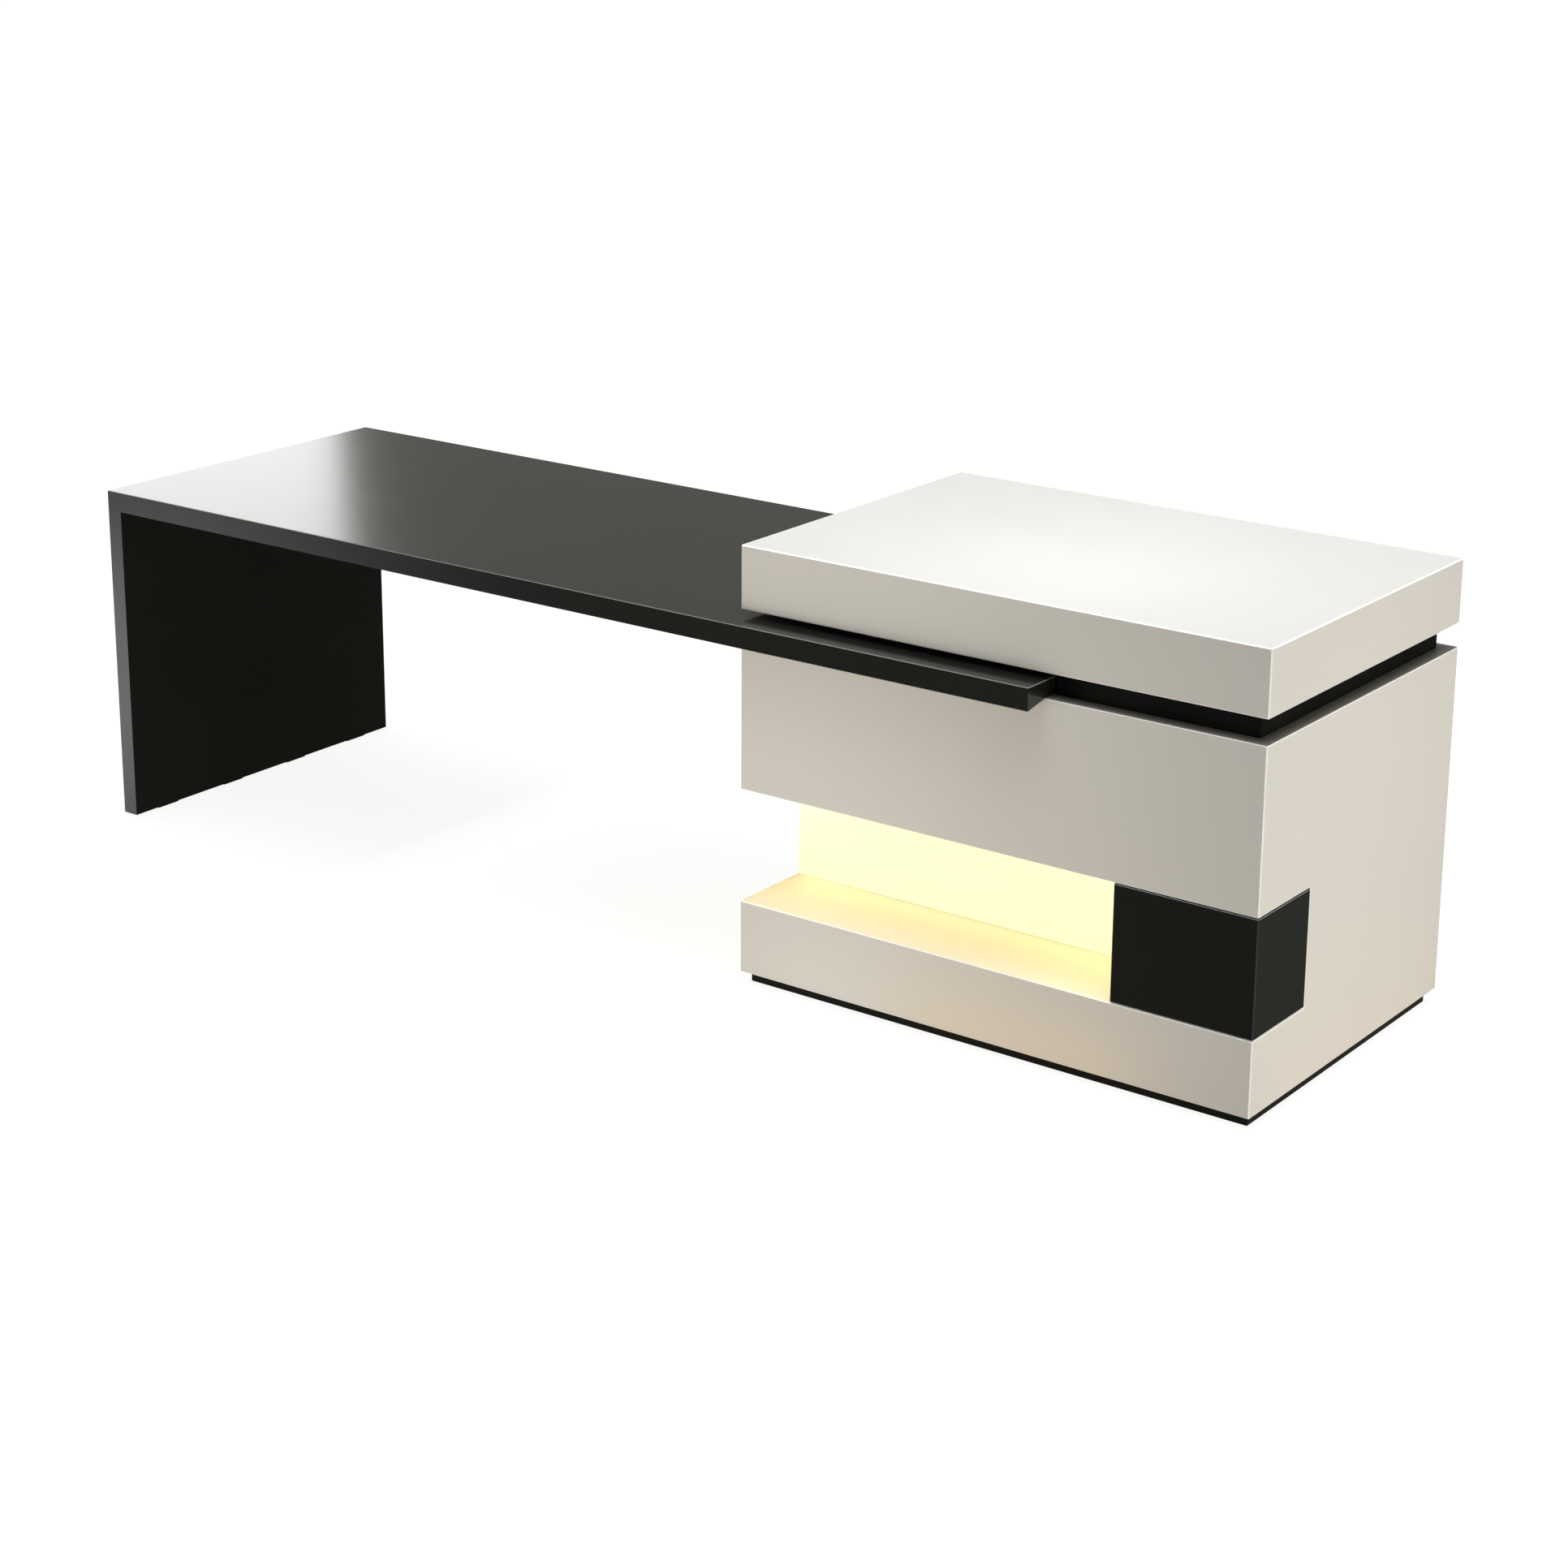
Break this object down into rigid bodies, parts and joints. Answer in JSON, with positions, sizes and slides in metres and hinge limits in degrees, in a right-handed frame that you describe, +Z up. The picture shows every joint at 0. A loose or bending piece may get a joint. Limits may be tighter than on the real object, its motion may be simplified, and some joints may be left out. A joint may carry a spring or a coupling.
{
  "type": "kitchen island with sliding table",
  "caption": "White island with a lit corner niche and storage behind, and a dark table on a panel leg that slides out from under its thick worktop.",
  "frame": {"origin": "on the floor, under the middle of the whole object's box", "axes": "+X along the table towards the island, +Y from the front to the rear, +Z up"},
  "size_m": [2.862, 0.82, 0.9],
  "materials": {
    "white_lacquer": "satin warm-white lacquer",
    "black_lacquer": "satin black lacquer",
    "grey_deck": "satin grey lacquer",
    "carcass_board": "matt faced board",
    "opal_sheet": "opal, lit warm",
    "light_emitter": "lit warm",
    "anodised_metal": "satin anodised",
    "bare_steel": "zinc plated",
    "dark_steel": "black primer",
    "dark_plastic": "matt",
    "pale_plastic": "matt",
    "soft_rubber": "matt"
  },
  "bodies": {
    "island": {"plinth_rails": "black_lacquer", "base_board": "carcass_board", "cable_grommet": "dark_plastic", "lower_front_panel": "white_lacquer", "upper_front_panel": "white_lacquer", "niche_floor": "white_lacquer", "niche_ceiling": "white_lacquer", "left_side_panel": "white_lacquer", "right_side_panel": "white_lacquer", "deck": "grey_deck", "core_wall": "carcass_board", "lower_divider": "carcass_board", "upper_divider": "carcass_board", "corner_box_front": "black_lacquer", "corner_box_side": "black_lacquer", "corner_box_inner": "black_lacquer", "corner_box_battens": "carcass_board", "light_panel": "opal_sheet", "light_tray": "anodised_metal", "light_strips": "light_emitter", "light_driver": "pale_plastic", "neck_front": "black_lacquer", "neck_rear": "black_lacquer", "neck_ends": "black_lacquer", "neck_spacers": "bare_steel", "block_bolts": "bare_steel", "block_tubes": "dark_steel", "block_ribs": "carcass_board", "block_top": "white_lacquer", "block_bottom": "white_lacquer", "block_front": "white_lacquer", "block_rear": "white_lacquer", "block_left": "white_lacquer", "block_right": "white_lacquer", "tracks": "anodised_metal", "track_stops": "dark_plastic", "end_bumpers": "soft_rubber", "finger_channel": "anodised_metal", "drawer_rails": "bare_steel", "pivot_brackets": "bare_steel"},
    "table": {"table_top": "black_lacquer", "table_leg": "black_lacquer", "table_front_apron": "black_lacquer", "table_rear_apron": "black_lacquer", "table_end_rib": "black_lacquer", "table_stiffeners": "dark_steel", "corner_brackets": "bare_steel", "slide_shoes": "dark_plastic", "glide_pads": "dark_plastic"},
    "left_drawer": {"left_drawer_front": "white_lacquer", "left_drawer_box": "carcass_board", "left_drawer_floor": "carcass_board", "left_drawer_sliders": "bare_steel"},
    "right_drawer": {"right_drawer_front": "white_lacquer", "right_drawer_box": "carcass_board", "right_drawer_floor": "carcass_board", "right_drawer_sliders": "bare_steel"},
    "left_door": {"left_door": "white_lacquer"},
    "right_door": {"right_door": "white_lacquer"}
  },
  "joints": [
    {"name": "table_slide", "type": "slide", "parent": "island", "child": "table", "axis": [-1, 0, 0], "range_m": [0, 0.35]},
    {"name": "left_drawer_slide", "type": "slide", "parent": "island", "child": "left_drawer", "axis": [0, 1, 0], "range_m": [0, 0.4]},
    {"name": "right_drawer_slide", "type": "slide", "parent": "island", "child": "right_drawer", "axis": [0, 1, 0], "range_m": [0, 0.4]},
    {"name": "left_door_hinge", "type": "hinge", "parent": "island", "child": "left_door", "pos_m": [0.32, 0.401, 0.2], "axis": [0, 0, 1], "range_deg": [0, 100]},
    {"name": "right_door_hinge", "type": "hinge", "parent": "island", "child": "right_door", "pos_m": [1.402, 0.401, 0.2], "axis": [0, 0, -1], "range_deg": [0, 100]}
  ]
}
